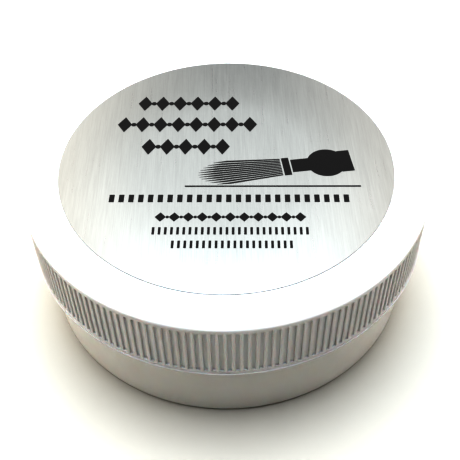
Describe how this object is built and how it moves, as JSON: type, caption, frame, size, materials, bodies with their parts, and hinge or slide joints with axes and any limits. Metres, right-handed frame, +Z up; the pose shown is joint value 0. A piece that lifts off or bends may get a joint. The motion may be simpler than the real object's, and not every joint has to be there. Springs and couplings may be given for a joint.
{
  "type": "shaving soap tub",
  "caption": "Low round white plastic tub of poured shaving soap with a finely ribbed screw lid, a loose foam liner and a round brushed-foil label.",
  "frame": {"origin": "centre of the tub's foot, on the surface that it stands on", "axes": "+Z up along the tub's axis and through the lid; +Y towards the back edge of the label's layout, +X to its right"},
  "size_m": [0.093, 0.093, 0.0351],
  "materials": {
    "tub_plastic": "satin",
    "lid_plastic": "satin",
    "soap": "matte",
    "liner_foam": "matte",
    "label_foil": "satin",
    "label_ink": "matte",
    "label_paper": "matte"
  },
  "bodies": {
    "tub": {"tub": "tub_plastic", "soap_puck": "soap", "base_label": "label_paper"},
    "liner": {"lid_liner": "liner_foam"},
    "lid": {"lid": "lid_plastic", "top_label": "label_foil", "label_print": "label_ink"}
  },
  "joints": [
    {"name": "lid_lift", "type": "slide", "parent": "tub", "child": "liner", "axis": [0, 0, 1], "range_m": [0, 0.02033]},
    {"name": "lid_turn", "type": "hinge", "parent": "liner", "child": "lid", "pos_m": [0, 0, 0.019], "axis": [0, 0, 1], "range_deg": [0, 1440]}
  ],
  "couplings": [
    {"joint": "lid_lift", "follows": "lid_turn", "m_per_rad": 0.00080851}
  ]
}
